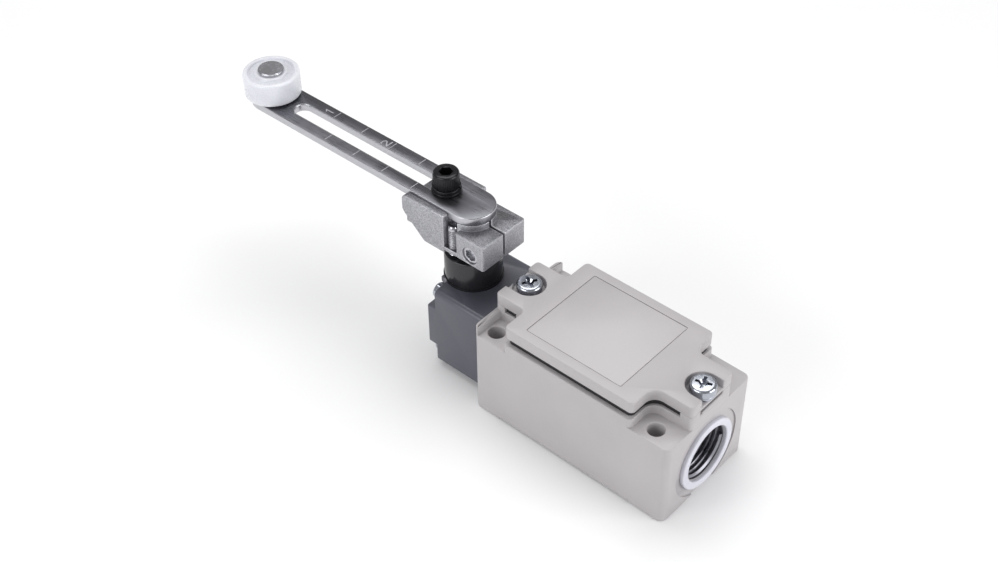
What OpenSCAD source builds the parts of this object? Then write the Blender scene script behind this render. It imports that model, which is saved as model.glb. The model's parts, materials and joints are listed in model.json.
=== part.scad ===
// Adjustable roller lever limit switch: die-cast housing, head, slotted lever and
// the parts inside. Millimetres. The origin is the centre of the four mounting holes
// on the back face, +Z runs from the back to the cover, +Y from conduit to head.

/* [Housing] */
// Width of the housing across the mounting ears
body_w = 40; // [39.6:0.1:41]
// Distance from the mounting centre to the conduit end face
conduit_end = 38; // [37.5:0.1:39]
// Distance from the mounting centre to the head end face
head_end = 35; // [34.6:0.1:35.2]
// Height of the mounting ears above the back face
ear_h = 30.6; // [29.5:0.1:31]
// Height of the housing wall that carries the gasket
wall_h = 33.8; // [33.4:0.1:34.1]
// Depth of the relief between the pads on the back face
relief_depth = 0.6; // [0.3:0.1:1]

/* [Mounting] */
// Distance between the mounting holes across the body
hole_pitch_x = 30; // [29.8:0.1:30.2]
// Distance between the mounting holes along the body
hole_pitch_y = 60; // [59.8:0.1:60.2]
// Diameter of the mounting holes, for M5 screws
hole_d = 5.3; // [5.2:0.1:5.6]

/* [Conduit] */
// Diameter of the conduit bore at its thread crests
conduit_d = 18.4; // [17.5:0.1:18.8]
// Height of the conduit axis above the back face
conduit_z = 14; // [13.8:0.1:14.4]
// Outer diameter of the white ring round the conduit opening
ring_d = 24; // [23:0.5:25]

/* [Cover] */
// Width of the cover between its mounting notches
cover_w = 38.6; // [38:0.1:39]
// Height of the cover's top face above the back face
cover_top = 40; // [39.6:0.1:40.4]
// Width of the cover tabs that hold the screws
tab_w = 19.4; // [19:0.1:19.6]

/* [Head] */
// Width of the operating head
head_w = 29.4; // [29:0.1:30]
// Height of the head's top face above the back face
head_top = 31.4; // [31.2:0.1:31.8]
// Distance from the mounting centre to the lever shaft axis
shaft_y = 53; // [52.8:0.1:53.2]
// Diameter of the lever shaft
shaft_d = 10; // [9.8:0.1:10]

/* [Lever] */
// Distance from the shaft axis to the roller axis, lever fully out
reach = 89; // [88:0.5:89]
// Width of the slotted lever
lever_w = 14.9; // [14.6:0.1:15]
// Thickness of the slotted lever
lever_t = 2.8; // [2.6:0.1:3]
// Height of the lever's top face above the back face
lever_top = 59; // [58.8:0.1:59.2]
// Width of the adjusting slot in the lever
slot_w = 5.9; // [5.6:0.1:6]
// Diameter of the roller
roller_d = 18.8; // [18:0.1:19]
// Width of the roller
roller_w = 8.2; // [7.6:0.1:8.4]

/* [Hidden] */
$fn = 64;

eps = 0.01;
cut = 1;                                // overrun of a cut past the face it leaves

// housing
corner_r = 2.2;
notch_r = 3.6;                          // concave corner between cover tab and ear
tab_root_y0 = -24.5;                    // where the conduit-end ears meet the wall
tab_root_y1 = 23.3;                     // where the head-end ears meet the wall
cavity_x = 16.4;
cavity_y0 = -22.5;
cavity_y1 = 19.5;
cavity_floor = 3;
cavity_r = 2.5;
relief_y0 = -26.5;
relief_y1 = 25;
post_len = 4.2;
post_w = 4.4;
sill_top = 34.6;
sill_t = 1.4;
post_gap = 0.1;                         // room round the posts in gasket and skirt
rim_t = 1.6;                            // raised rim of the head-end ears
spot_r = 14.8;
spot_depth = 0.5;

// cover
gasket_top = 35;
cover_bottom = 35.9;
cover_inner_top = 37.8;
pocket_floor = 36.9;
pocket_r = 5.2;
pocket_lip = 38.6;
cover_screw_y0 = -34.5;
cover_screw_y1 = 30;
panel_x = 16;
panel_y = 17.6;
panel_depth = 0.3;
m4_r = 2;
m4_tap_r = 2.02;
pan_r = 4;
pan_h = 2.9;

// head
plunger_z = 16.9;
head_gap = 0.6;                         // head gasket thickness
head_y0 = head_end + head_gap;
head_y1 = 56.5;
head_z0 = 2.3;
boss_y = 59.7;
boss_bar_z0 = 8.3;
boss_bar_z1 = 24;
boss_bar_x = 7.7;
lobe_r = 9.5;
head_screw_x = 10.5;
head_screw_z = 11.2;
m3_r = 1.5;
m3_tap_r = 1.52;
cheese_r = 2.7;
cheese_h = 2.4;
chamber_r = 7.8;
chamber_z0 = 11;
chamber_z1 = 23;
passage_r = 4.6;
collar_r = 9.2;
collar_top = 42;
collar_rim = 0.8;

// shaft, cam and plunger
shaft_r = shaft_d/2;
fit = 0.05;                             // radial running clearance
journal_r = 3.5;
cam_seat_r = 4;
cam_r = 6.4;
cam_throw = 0.9;
cam_z0 = 13;
cam_z1 = 21;
bush_r = 6.6;
seal_z = 38;
plunger_r = 2.5;
plunger_head_r = 4.2;
plunger_head_t = 2.4;
plunger_gap = 0.25;                     // cam to plunger at rest
plunger_face_y = shaft_y - cam_r - plunger_gap;
plunger_tip_y = 12;
plunger_bush_r = 4.2;

// hub, lever and roller
lever_z = lever_top - lever_t;
hub_x = 9.6;
hub_z0 = 45;
hub_top = 54.1;
hub_y0 = shaft_y - 12.9;
hub_y1 = shaft_y + 20.5;
cheek_x = 7.55;                         // inner face of the hub cheeks beside the lever
cheek_t = 2.2;
cheek_top = 58;
cheek_y0 = shaft_y + 3;
pad_r = 7.4;
slit_w = 0.8;
lock_y = shaft_y + 10.5;
m5_r = 2.5;
clamp_y = shaft_y - 7.4;
clamp_z = 48.4;
clamp_head_r = 2.85;
side_screw_x = -7.2;
side_screw_y = shaft_y + 1.2;
side_screw_z = 43.2;
side_screw_top = 54.4;
slot_y0 = lock_y + 0.2;
slot_y1 = shaft_y + 74.7;
roller_y = shaft_y + reach;
roller_z0 = lever_top + 0.6;
pin_r = 3;
pin_head_r = 4.3;

// built-in switch
case_x = 14.4;
case_y0 = -11;
case_y1 = 18.6;
case_z0 = cavity_floor;
case_z1 = 22;
chamber_case_x = 11.6;
chamber_case_y0 = -7;
chamber_case_y1 = 14.6;
chamber_case_z0 = 6;
bridge_y = 4;
bridge_t = 0.8;
contact_x = 8.2;
contact_r = 1.5;
contact_h = 0.5;
contact_gap = 1.3;
strip_t = 0.9;
bus_t = 0.8;
terminal_x = 8.5;
terminal_y0 = -9.2;
terminal_y1 = 16.5;
clamp_t = 1.4;
strip_w = 5;
lid_t = 2;
lid_x = 12.5;
lid_lip = 0.2;
lid_len = chamber_case_y1 - chamber_case_y0 + 2*lid_lip;
foot_t = 2;                             // feet of the switch case
floor_screw_y = -16;
case_screw_x = 11.4;
screw_depth = 1.3;                      // height of the floor screws' lower ends

// rectangle with rounded corners, from [x0, y0] to [x1, y1]
module round_rect(x0, y0, x1, y1, r) {
    translate([x0 + r, y0]) square([x1 - x0 - 2*r, y1 - y0]);
    translate([x0, y0 + r]) square([x1 - x0, y1 - y0 - 2*r]);
    for (x = [x0 + r, x1 - r], y = [y0 + r, y1 - r]) translate([x, y]) circle(r);
}

// concave corner fillet with its sharp corner at [x, y], growing towards sx, sy
module corner_fillet(x, y, sx, sy, r) {
    translate([x, y]) difference() {
        translate([sx < 0 ? -r : -eps, sy < 0 ? -r : -eps]) square(r + eps);
        translate([sx*r, sy*r]) circle(r);
    }
}

// outline that the cover, gasket and wall share; inset pulls it inwards
module cover_outline(inset = 0) {
    half = cover_w/2 - inset;
    tab = tab_w/2 - inset;
    y0 = tab_root_y0 + inset;
    y1 = tab_root_y1 - inset;
    round_rect(-half, y0, half, y1, 1.6);
    round_rect(-tab, -conduit_end + inset, tab, 0, 1.2);
    round_rect(-tab, 0, tab, head_end - inset, 1.2);
    for (s = [-1, 1]) {
        corner_fillet(s*tab, y0, s, -1, notch_r + inset);
        corner_fillet(s*tab, y1, s, 1, 2);
    }
}

// cylinder along Y from y0 to y1
module y_cylinder(x, z, r, y0, y1) {
    translate([x, y0, z]) rotate([-90, 0, 0]) cylinder(h = y1 - y0, r = r);
}

// cylinder along X from x0 to x1
module x_cylinder(y, z, r, x0, x1) {
    translate([x0, y, z]) rotate([0, 90, 0]) cylinder(h = x1 - x0, r = r);
}

// flat ring standing on z = 0
module ring(r_out, r_in, h) {
    difference() {
        cylinder(h = h, r = r_out);
        translate([0, 0, -cut]) cylinder(h = h + 2*cut, r = r_in);
    }
}

// pan head screw with its head's seat at z = 0 and its shank below
module pan_screw(shank_r, shank_len, head_r, head_h) {
    dome = 0.9;
    slot = 1.1;
    difference() {
        union() {
            translate([0, 0, -shank_len]) cylinder(h = shank_len + eps, r = shank_r);
            rotate_extrude() {
                square([head_r, head_h - dome]);
                square([head_r - dome, head_h]);
                translate([head_r - dome, head_h - dome]) circle(dome);
            }
        }
        for (a = [0, 90]) rotate([0, 0, a])
            translate([-head_r*0.55, -slot/2, head_h*0.35]) cube([head_r*1.1, slot, head_h]);
    }
}

// socket head cap screw, seat at z = 0, shank below
module cap_screw(shank_r, shank_len, head_r, head_h, hex_af) {
    difference() {
        union() {
            translate([0, 0, -shank_len]) cylinder(h = shank_len + eps, r = shank_r);
            cylinder(h = head_h, r = head_r);
        }
        translate([0, 0, head_h*0.45]) cylinder(h = head_h, r = hex_af/sqrt(3), $fn = 6);
    }
}

function head_screw_places() =
    [for (x = [-1, 1], z = [-1, 1]) [x*head_screw_x, plunger_z + z*head_screw_z]];

module mounting_places() {
    for (x = [-1, 1]*hole_pitch_x/2, y = [-1, 1]*hole_pitch_y/2)
        translate([x, y, 0]) children();
}

// near edges of the posts along the body
function post_y0s() = [-conduit_end, tab_root_y1 - 0.4, head_end - post_len + 0.7];

// posts that the cover tabs seat on, grown by gap on every side
module post_outline(gap = 0) {
    for (s = [-1, 1], y = post_y0s())
        translate([s*(tab_w/2 - post_w/2) - post_w/2 - gap, y - gap])
            square([post_w + 2*gap, post_len + 2*gap]);
}

// low sill between the posts at the conduit end, grown by gap
module sill_outline(gap = 0) {
    translate([-post_w - gap, -conduit_end - gap])
        square([2*post_w + 1.5 + 2*gap, sill_t + 2*gap]);
}

module base_housing() {
    color([0.72, 0.71, 0.70]) difference() {
        union() {
            linear_extrude(ear_h) round_rect(-body_w/2, -conduit_end, body_w/2, head_end, corner_r);
            linear_extrude(wall_h) cover_outline();
            // long walls stand flush with the sides
            translate([0, 0, ear_h - eps]) linear_extrude(wall_h - ear_h + eps)
                round_rect(-body_w/2, tab_root_y0, body_w/2, tab_root_y1, 1.6);
            // rim of the head-end ears
            translate([0, 0, ear_h - eps]) linear_extrude(wall_h - ear_h + eps) difference() {
                round_rect(-body_w/2, 0, body_w/2, head_end, corner_r);
                translate([-body_w, -cut]) square([2*body_w, head_end - rim_t + cut]);
            }
            linear_extrude(cover_bottom) intersection() {
                cover_outline();
                post_outline();
            }
            linear_extrude(sill_top) sill_outline();
        }
        // interior
        translate([0, 0, cavity_floor]) linear_extrude(wall_h)
            round_rect(-cavity_x, cavity_y0, cavity_x, cavity_y1, cavity_r);
        // conduit bore and its spot face
        y_cylinder(0, conduit_z, conduit_d/2, -conduit_end - cut, cavity_y0 + cut);
        y_cylinder(0, conduit_z, spot_r, -conduit_end - cut, -conduit_end + spot_depth);
        // relief between the back pads
        translate([-body_w, relief_y0, -cut])
            cube([2*body_w, relief_y1 - relief_y0, relief_depth + cut]);
        // mounting holes
        mounting_places() translate([0, 0, -cut]) cylinder(h = wall_h + 2*cut, d = hole_d);
        // cover screw threads
        for (y = [cover_screw_y0, cover_screw_y1])
            translate([0, y, wall_h - 8.6]) cylinder(h = 10, r = m4_tap_r);
        // plunger bush seat and head screw threads
        y_cylinder(0, plunger_z, plunger_bush_r, cavity_y1 - cut, head_end + cut);
        for (p = head_screw_places()) y_cylinder(p[0], p[1], m3_tap_r, head_end - 4.3, head_end + cut);
        // earth screw and case screw threads in the floor
        for (x = [-1, 0, 1]*case_screw_x) translate([x, floor_screw_y, 1.2])
            cylinder(h = 4, r = m3_tap_r);
    }
}

module cover() {
    color([0.71, 0.70, 0.69]) difference() {
        union() {
            translate([0, 0, cover_bottom]) linear_extrude(cover_top - cover_bottom)
                cover_outline();
            // skirt that presses on the gasket
            translate([0, 0, gasket_top]) linear_extrude(cover_bottom - gasket_top + eps)
                difference() {
                    cover_outline(1.5);
                    post_outline(post_gap);
                }
        }
        // hollow underside
        translate([0, 0, gasket_top - cut]) linear_extrude(cover_inner_top - gasket_top + cut)
            round_rect(-cavity_x, cavity_y0 + 1, cavity_x, cavity_y1, cavity_r);
        // screw pockets, open to the ends
        for (y = [cover_screw_y0, cover_screw_y1]) {
            translate([0, y, pocket_floor]) cylinder(h = 10, r = pocket_r);
            translate([0, y, cover_bottom - cut]) cylinder(h = 10, r = m4_r + 0.25);
        }
        translate([-pocket_r, -conduit_end - cut, pocket_floor])
            cube([2*pocket_r, cover_screw_y0 + conduit_end + cut, 10]);
        translate([-pocket_r, cover_screw_y1, pocket_lip])
            cube([2*pocket_r, head_end - cover_screw_y1 + cut, 10]);
        // recess for the rating panel
        translate([0, 0, cover_top - panel_depth]) linear_extrude(cut)
            round_rect(-panel_x, -panel_y, panel_x, panel_y, 0.5);
    }
}

module cover_gasket() {
    color([0.14, 0.13, 0.15]) translate([0, 0, wall_h])
        linear_extrude(gasket_top - wall_h) difference() {
            cover_outline(0.8);
            round_rect(-cavity_x + 0.4, cavity_y0 + 0.4, cavity_x - 0.4, cavity_y1 - 0.4, 2);
            post_outline(post_gap);
            sill_outline(post_gap);
            for (y = [cover_screw_y0, cover_screw_y1]) translate([0, y]) circle(m4_r + 0.3);
        }
}

module cover_screws() {
    color([0.78, 0.79, 0.82]) for (y = [cover_screw_y0, cover_screw_y1])
        translate([0, y, pocket_floor + 1.1]) pan_screw(m4_r, 12, pan_r, pan_h);
}

module cover_screw_washers() {
    color([0.6, 0.61, 0.64]) for (y = [cover_screw_y0, cover_screw_y1])
        translate([0, y, pocket_floor]) difference() {
            ring(3.9, 2.1, 1.1);
            rotate([0, 0, -60]) translate([1, -0.3, -cut]) cube([4, 0.6, 4]);
        }
}

module rating_panel() {
    color([0.70, 0.69, 0.70]) translate([0, 0, cover_top - panel_depth])
        linear_extrude(panel_depth - 0.08) round_rect(-15.8, -17.4, 15.8, 17.4, 0.4);
}

module conduit_ring() {
    y_back = -conduit_end + spot_depth;
    color([0.93, 0.93, 0.96]) difference() {
        y_cylinder(0, conduit_z, ring_d/2, y_back - 1.3, y_back);
        y_cylinder(0, conduit_z, conduit_d/2 + 0.2, y_back - 3, y_back + cut);
    }
}

module head_profile() {
    r = 1.8;
    translate([-head_w/2, head_z0]) square([head_w, head_top - head_z0 - r]);
    translate([-head_w/2 + r, head_z0]) square([head_w - 2*r, head_top - head_z0]);
    for (x = [-1, 1]*(head_w/2 - r)) translate([x, head_top - r]) circle(r);
}

module head_housing() {
    color([0.26, 0.26, 0.30]) difference() {
        union() {
            translate([0, head_y1, 0]) rotate([90, 0, 0])
                linear_extrude(head_y1 - head_y0) head_profile();
            // cross-shaped boss at the far end
            translate([-head_w/2, head_y1 - eps, boss_bar_z0])
                cube([head_w, boss_y - head_y1 + eps, boss_bar_z1 - boss_bar_z0]);
            translate([-boss_bar_x, head_y1 - eps, head_z0])
                cube([2*boss_bar_x, boss_y - head_y1 + eps, head_top - head_z0 - 0.4]);
            translate([0, shaft_y, head_z0]) cylinder(h = head_top - head_z0, r = lobe_r);
        }
        // cam chamber, upper and lower bush seats
        translate([0, shaft_y, chamber_z0]) cylinder(h = chamber_z1 - chamber_z0, r = chamber_r);
        translate([0, shaft_y, chamber_z1 - cut]) cylinder(h = 20, r = bush_r);
        translate([0, shaft_y, head_z0 + 1.6]) cylinder(h = 10, r = 5.5);
        // plunger passage and room for the bush flange
        y_cylinder(0, plunger_z, passage_r, head_y0 - cut, shaft_y);
        y_cylinder(0, plunger_z, 5.9, head_y0 - cut, head_y0 + 1);
        // head screw holes
        for (p = head_screw_places()) {
            y_cylinder(p[0], p[1], m3_r + 0.15, head_y0 - cut, head_y1 + cut);
            y_cylinder(p[0], p[1], cheese_r + 0.3, head_y1, head_y1 + 10);
        }
    }
}

module head_gasket() {
    color([0.14, 0.13, 0.15]) difference() {
        translate([-13.6, head_end, head_z0 + 1])
            cube([27.2, head_gap, wall_h - head_z0 - 4.6]);
        y_cylinder(0, plunger_z, 5.9, head_end - cut, head_y0 + cut);
        for (p = head_screw_places())
            y_cylinder(p[0], p[1], m3_r + 0.3, head_end - cut, head_y0 + cut);
    }
}

module head_screws() {
    color([0.66, 0.67, 0.70]) for (p = head_screw_places())
        translate([p[0], head_y1, p[1]]) rotate([-90, 0, 0])
            pan_screw(m3_r, head_y1 - head_end + 4, cheese_r, cheese_h);
}

module turret_collar() {
    color([0.12, 0.12, 0.14]) translate([0, shaft_y, head_top]) difference() {
        union() {
            cylinder(h = collar_top - head_top, r = collar_r);
            cylinder(h = collar_rim, r = collar_r + 0.3);
        }
        translate([0, 0, -cut]) cylinder(h = 20, r = shaft_r + 0.3);
        translate([0, 0, seal_z - head_top - 1]) cylinder(h = 2, r = shaft_r + 2);
    }
}

module shaft_seal() {
    color([0.10, 0.10, 0.10]) translate([0, shaft_y, seal_z]) rotate_extrude()
        translate([shaft_r + 1, 0]) circle(0.9);
}

module upper_bush() {
    color([0.72, 0.56, 0.30]) translate([0, shaft_y, chamber_z1 + 0.4])
        ring(bush_r, shaft_r + fit, head_top - chamber_z1 - 0.4);
}

module lower_bush() {
    color([0.72, 0.56, 0.30]) translate([0, shaft_y, head_z0 + 1.6])
        ring(5.5, journal_r + fit, chamber_z0 - head_z0 - 1.8);
}

module plunger_bush() {
    color([0.72, 0.56, 0.30]) difference() {
        union() {
            y_cylinder(0, plunger_z, plunger_bush_r, cavity_y1, head_end + eps);
            y_cylinder(0, plunger_z, 5.6, head_end, head_end + 1.2);
        }
        y_cylinder(0, plunger_z, plunger_r + fit, cavity_y1 - cut, head_end + 3);
        // groove for the seal
        y_cylinder(0, plunger_z, 3.7, 26, 28.4);
    }
}

module plunger_seal() {
    color([0.10, 0.10, 0.10]) translate([0, 27.2, plunger_z]) rotate([90, 0, 0])
        rotate_extrude() translate([plunger_r + 0.6, 0]) circle(0.5);
}

// coil spring between the bush flange and the plunger head: a round wire swept
// round the plunger axis as one closed tube
module return_spring() {
    wire_r = 0.4;
    coil_r = 3.4;
    turns = 6.5;
    steps = 104;                        // stations along the wire
    sides = 6;                          // corners of the wire's cross-section
    y_first = head_end + 1.2 + wire_r;
    y_last = plunger_face_y - plunger_head_t - wire_r;
    wire = [for (i = [0:steps], j = [0:sides - 1])
        let (a = 360*turns*i/steps, b = 360*j/sides, r = coil_r + wire_r*cos(b))
        [r*cos(a), y_first + (y_last - y_first)*i/steps + wire_r*sin(b), plunger_z + r*sin(a)]];
    skin = [for (i = [0:steps - 1], j = [0:sides - 1])
        let (k = (j + 1)%sides)
        [i*sides + j, i*sides + k, (i + 1)*sides + k, (i + 1)*sides + j]];
    start = [for (j = [0:sides - 1]) sides - 1 - j];
    end = [for (j = [0:sides - 1]) steps*sides + j];
    color([0.75, 0.76, 0.78])
        polyhedron(points = wire, faces = concat(skin, [start, end]), convexity = 10);
}

module switch_case() {
    color([0.22, 0.22, 0.24]) difference() {
        union() {
            translate([-case_x, case_y0, case_z0])
                cube([2*case_x, case_y1 - case_y0, case_z1 - case_z0]);
            for (s = [-1, 1]) translate([s*case_screw_x - 3, floor_screw_y - 3, case_z0])
                cube([6, case_y0 - floor_screw_y + 4, foot_t]);
        }
        for (s = [-1, 1]) translate([s*case_screw_x, floor_screw_y, case_z0 - cut])
            cylinder(h = foot_t + 2*cut, r = m3_r + 0.1);
        // contact chamber, covered by the lid
        translate([-chamber_case_x, chamber_case_y0, chamber_case_z0])
            cube([2*chamber_case_x, chamber_case_y1 - chamber_case_y0, 30]);
        translate([-lid_x - 0.1, chamber_case_y0 - lid_lip - 0.1, case_z1 - lid_t])
            cube([2*lid_x + 0.2, lid_len + 0.2, lid_t + cut]);
        // plunger entry
        y_cylinder(0, plunger_z, plunger_r + 0.4, chamber_case_y1 - cut, case_y1 + cut);
        // seats of the strips in the side walls
        for (s = [-1, 1], y = strip_ys())
            translate([s*13 - 1.6, y, plunger_z - strip_w/2])
                cube([3.2, strip_t, 30]);
        // terminal screw holes
        for (p = terminal_places()) translate([p[0], p[1], case_z1 - 6])
            cylinder(h = 10, r = m3_tap_r);
    }
}

// front faces of the two strip pairs: open side first
function strip_ys() = [
    bridge_y - bridge_t/2 - 2*contact_h - contact_gap - strip_t,
    bridge_y + bridge_t/2 + 2*contact_h + contact_gap
];

function terminal_places() = [for (x = [-1, 1], y = [terminal_y0, terminal_y1]) [x*terminal_x, y]];

module switch_lid() {
    color([0.30, 0.30, 0.32]) translate([-lid_x, chamber_case_y0 - lid_lip, case_z1 - lid_t])
        cube([2*lid_x, lid_len, lid_t]);
}

module case_screws() {
    seat = cavity_floor + foot_t;
    color([0.66, 0.67, 0.70]) for (s = [-1, 1])
        translate([s*case_screw_x, floor_screw_y, seat])
            pan_screw(m3_r, seat - screw_depth, 2.8, 2);
}

// pair of fixed contacts at strip face y: the rivets face towards dir, and each strip
// rises through the side wall and runs along the case to its terminal at y_end
module contact_pair(y, dir, y_end) {
    riser_x0 = 12.8;
    riser_x1 = 14.2;
    tongue_x = 5.4;
    tongue_w = 3.2;
    y_a = min(y, y_end - tongue_w/2);
    y_b = max(y + strip_t, y_end + tongue_w/2);
    for (s = [-1, 1]) mirror([s < 0 ? 1 : 0, 0, 0]) {
        translate([8, y, plunger_z - strip_w/2]) cube([riser_x1 - 8, strip_t, strip_w]);
        translate([riser_x0, y, plunger_z])
            cube([riser_x1 - riser_x0, strip_t, case_z1 + bus_t - plunger_z]);
        translate([riser_x0, y_a, case_z1]) cube([riser_x1 - riser_x0, y_b - y_a, bus_t]);
        translate([0, y_end, case_z1]) difference() {
            translate([tongue_x, -tongue_w/2, 0]) cube([riser_x1 - tongue_x, tongue_w, bus_t]);
            translate([terminal_x, 0, -cut]) cylinder(h = 4, r = m3_r + 0.05);
        }
        face = dir > 0 ? y + strip_t - eps : y - contact_h + eps;
        y_cylinder(contact_x, plunger_z, contact_r, face, face + contact_h);
    }
}

module no_contacts() {
    color([0.76, 0.50, 0.34]) contact_pair(strip_ys()[0], 1, terminal_y0);
}

module nc_contacts() {
    color([0.76, 0.50, 0.34]) contact_pair(strip_ys()[1], -1, terminal_y1);
}

module terminal_screws() {
    color([0.78, 0.76, 0.66]) for (p = terminal_places())
        translate([p[0], p[1], case_z1 + bus_t + clamp_t]) pan_screw(m3_r, 7, 2.8, 2);
}

module terminal_clamps() {
    clamp_w = 6.4;
    color([0.78, 0.70, 0.45]) for (p = terminal_places())
        translate([p[0], p[1], case_z1 + bus_t]) difference() {
            translate([-clamp_w/2, -1.6, 0]) cube([clamp_w, 3.2, clamp_t]);
            translate([0, 0, -cut]) cylinder(h = 5, r = m3_r + 0.05);
        }
}

module ground_screw() {
    seat = cavity_floor + 0.8;
    color([0.60, 0.66, 0.42]) translate([0, floor_screw_y, seat])
        pan_screw(m3_r, seat - screw_depth, 2.8, 2);
}

module ground_washer() {
    color([0.70, 0.71, 0.74]) translate([0, floor_screw_y, cavity_floor])
        ring(3.2, m3_r + 0.05, 0.8);
}

module rotary_shaft() {
    color([0.70, 0.71, 0.73]) translate([0, shaft_y, 0]) {
        translate([0, 0, chamber_z1]) cylinder(h = lever_z - 0.3 - chamber_z1, r = shaft_r);
        translate([0, 0, chamber_z0]) cylinder(h = chamber_z1 - chamber_z0 + eps, r = cam_seat_r);
        translate([0, 0, head_z0 + 2.4])
            cylinder(h = chamber_z0 - head_z0 - 2.4 + eps, r = journal_r);
    }
}

// eccentric disc: its high side turns towards the plunger as the lever swings
module drive_cam() {
    color([0.55, 0.56, 0.58]) difference() {
        translate([-cam_throw, shaft_y, cam_z0]) cylinder(h = cam_z1 - cam_z0, r = cam_r);
        translate([0, shaft_y, cam_z0 - cut]) cylinder(h = cam_z1, r = cam_seat_r);
    }
}

module shaft_circlip() {
    color([0.30, 0.30, 0.32]) translate([0, shaft_y, cam_z1 + 0.2]) difference() {
        ring(5.6, cam_seat_r, 0.9);
        translate([-1.6, 0, -cut]) cube([3.2, 10, 4]);
    }
}

// outline of the hub's two cheeks, drawn in the Y-Z plane
module cheek_profile() {
    r = 2;
    low = hub_z0 - 1;
    polygon([
        [cheek_y0, low], [hub_y1 - 9, low], [hub_y1 - 1, low + 7],
        [hub_y1, low + 8.4], [hub_y1, cheek_top - r], [cheek_y0, cheek_top - r]
    ]);
    translate([cheek_y0, cheek_top - 2*r]) square([hub_y1 - r - cheek_y0, 2*r]);
    translate([hub_y1 - r, cheek_top - r]) circle(r);
}

module lever_hub() {
    color([0.48, 0.48, 0.51]) difference() {
        union() {
            // clamp block round the shaft
            translate([0, 0, hub_z0]) linear_extrude(hub_top - hub_z0)
                round_rect(-hub_x, hub_y0, hub_x, shaft_y - 1.6, 0.8);
            translate([-5.4, shaft_y - 3, hub_z0])
                cube([hub_x + 5.4, 8, hub_top - hub_z0]);
            translate([0, shaft_y, hub_z0]) cylinder(h = hub_top - hub_z0, r = pad_r);
            // pad and arm that the lever rests on
            translate([0, shaft_y, hub_z0]) cylinder(h = lever_z - hub_z0, r = pad_r);
            translate([-cheek_x - 1, cheek_y0, hub_z0 + 2])
                cube([2*cheek_x + 2, hub_y1 - cheek_y0 - 0.6, lever_z - hub_z0 - 2]);
            // cheeks that keep the lever in line
            for (x = [-cheek_x - cheek_t, cheek_x]) translate([x, 0, 0])
                rotate([90, 0, 90]) linear_extrude(cheek_t) cheek_profile();
            // foot under the recess, level with the block
            translate([-hub_x, shaft_y - 2, hub_z0]) cube([hub_x, 6, 1.4]);
        }
        // shaft bore, clamping slit and clamp screw
        translate([0, shaft_y, hub_z0 - 3]) cylinder(h = 30, r = shaft_r + fit);
        translate([-slit_w/2, hub_y0 - cut, hub_z0 - cut])
            cube([slit_w, shaft_y - hub_y0 + cut, lever_z - hub_z0 + 2*cut]);
        x_cylinder(clamp_y, clamp_z, m4_tap_r, -hub_x - cut, hub_x - 1.8);
        x_cylinder(clamp_y, clamp_z, clamp_head_r + 0.05, -hub_x - cut, -hub_x + 2.4);
        // lock screw thread and side screw thread
        translate([0, lock_y, hub_z0]) cylinder(h = 30, r = m5_r + 0.02);
        translate([side_screw_x, side_screw_y, hub_z0 - cut]) cylinder(h = 30, r = 1.82);
    }
}

module hub_clamp_screw() {
    color([0.16, 0.16, 0.18]) difference() {
        union() {
            x_cylinder(clamp_y, clamp_z, m4_r, -hub_x + 1, hub_x - 2.4);
            x_cylinder(clamp_y, clamp_z, clamp_head_r, -hub_x + 0.4, -hub_x + 2.38);
        }
        translate([-hub_x, clamp_y, clamp_z]) rotate([0, 90, 0])
            cylinder(h = 1.8, r = 3.6/sqrt(3), $fn = 6);
    }
}

module hub_side_screw() {
    color([0.42, 0.42, 0.44]) translate([side_screw_x, side_screw_y, side_screw_z])
        cylinder(h = side_screw_top - side_screw_z, r = 1.8);
}

module lock_screw() {
    color([0.10, 0.10, 0.11]) translate([0, lock_y, lever_top + 2.1])
        cap_screw(m5_r, 13.5, 4.15, 5, 4);
}

module lock_spring_washer() {
    color([0.13, 0.13, 0.14]) translate([0, lock_y, lever_top + 0.9]) difference() {
        ring(4.55, 2.6, 1.2);
        rotate([0, 0, -70]) translate([2, -0.3, -cut]) cube([4, 0.6, 4]);
    }
}

module lock_washer() {
    color([0.13, 0.13, 0.14]) translate([0, lock_y, lever_top + 0.02]) ring(4.7, 2.7, 0.86);
}

module lever_arm() {
    half = lever_w/2;
    color([0.41, 0.41, 0.44]) translate([0, 0, lever_z + 0.02])
        linear_extrude(lever_t - 0.02) difference() {
            union() {
                translate([0, shaft_y]) circle(half);
                translate([-half, shaft_y]) square([lever_w, reach]);
                translate([0, roller_y]) circle(half);
            }
            translate([0, slot_y0]) circle(slot_w/2);
            translate([-slot_w/2, slot_y0]) square([slot_w, slot_y1 - slot_y0]);
            translate([0, slot_y1]) circle(slot_w/2);
            translate([0, roller_y]) circle(pin_r);
        }
}

module roller_pin() {
    color([0.62, 0.62, 0.65]) translate([0, roller_y, 0]) {
        translate([0, 0, lever_z - 0.6]) cylinder(h = 1, r = pin_r);
        translate([0, 0, lever_z]) cylinder(h = roller_z0 + roller_w - lever_z + 0.4, r = pin_r);
        translate([0, 0, roller_z0 + roller_w + 0.15]) rotate_extrude() {
            square([pin_head_r, 0.7]);
            square([pin_head_r - 0.3, 1]);
        }
    }
}

module roller_washer() {
    color([0.70, 0.70, 0.72]) translate([0, roller_y, lever_top]) ring(5, pin_r + 0.02, 0.45);
}

module roller() {
    edge = 0.7;
    color([0.93, 0.93, 0.96]) translate([0, roller_y, roller_z0]) rotate_extrude() {
        difference() {
            union() {
                translate([pin_r + fit, 0]) square([roller_d/2 - pin_r - fit - edge, roller_w]);
                translate([pin_r + fit, edge])
                    square([roller_d/2 - pin_r - fit, roller_w - 2*edge]);
                for (z = [edge, roller_w - edge]) translate([roller_d/2 - edge, z]) circle(edge);
            }
            // dished top face round the raised hub
            translate([5.2, roller_w - 0.7]) square([2.6, 2]);
        }
    }
}

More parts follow.
